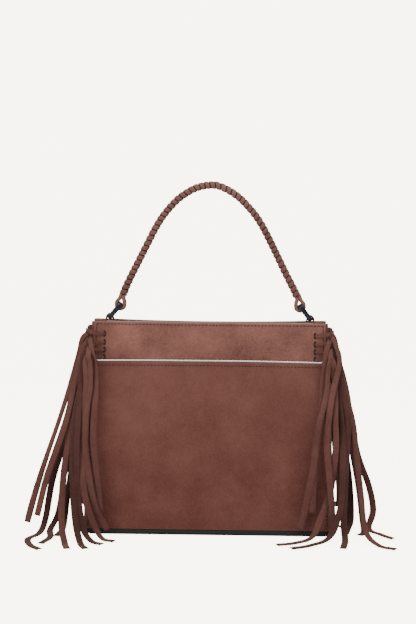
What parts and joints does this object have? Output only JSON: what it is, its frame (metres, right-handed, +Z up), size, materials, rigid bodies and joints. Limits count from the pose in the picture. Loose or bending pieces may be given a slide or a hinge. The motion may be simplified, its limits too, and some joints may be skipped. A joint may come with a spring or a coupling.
{
  "type": "handbag",
  "caption": "Suede handbag with a front slip pocket, lace fringes knotted along both side seams and a lace-wrapped arch handle on two rings",
  "frame": {"origin": "On the surface that the bag stands on, under the middle of its base", "axes": "+Z up, +X to the right seen from the front, -Y the front"},
  "size_m": [0.4127, 0.2205, 0.3966],
  "materials": {
    "suede": "napped brown suede",
    "lace_suede": "napped brown suede strip",
    "black_leather": "smooth black leather with a slight sheen",
    "board": "plain fibreboard",
    "lining_cloth": "plain woven lining",
    "facing_leather": "smooth pale leather",
    "polished_metal": "polished",
    "gunmetal": "dark gunmetal, semi-gloss",
    "snap_metal": "satin"
  },
  "bodies": {
    "bag": {"front_panel": "suede", "front_pocket_panel": "suede", "back_panel": "suede", "gusset_left": "suede", "gusset_right": "suede", "ring_tab_left": "suede", "ring_tab_right": "suede", "lace_left_front_1": "lace_suede", "lace_left_front_2": "lace_suede", "lace_left_front_3": "lace_suede", "lace_left_front_4": "lace_suede", "lace_left_back_1": "lace_suede", "lace_left_back_2": "lace_suede", "lace_left_back_3": "lace_suede", "lace_left_back_4": "lace_suede", "lace_right_front_1": "lace_suede", "lace_right_front_2": "lace_suede", "lace_right_front_3": "lace_suede", "lace_right_front_4": "lace_suede", "lace_right_back_1": "lace_suede", "lace_right_back_2": "lace_suede", "lace_right_back_3": "lace_suede", "lace_right_back_4": "lace_suede", "base_panel": "black_leather", "base_board": "board", "lining": "lining_cloth", "facing_front": "facing_leather", "facing_back": "facing_leather", "pocket_trim": "polished_metal", "snap_socket": "snap_metal", "snap_stud": "snap_metal"},
    "handle": {"handle_strap": "suede", "handle_lacing": "suede", "ring_left": "gunmetal", "ring_right": "gunmetal"}
  },
  "joints": [
    {"name": "handle_swing", "type": "hinge", "parent": "bag", "child": "handle", "pos_m": [0, 0, 0.24], "axis": [1, 0, 0], "range_deg": [-45, 45], "deforming": ["ring_tab_left", "ring_tab_right"]}
  ]
}
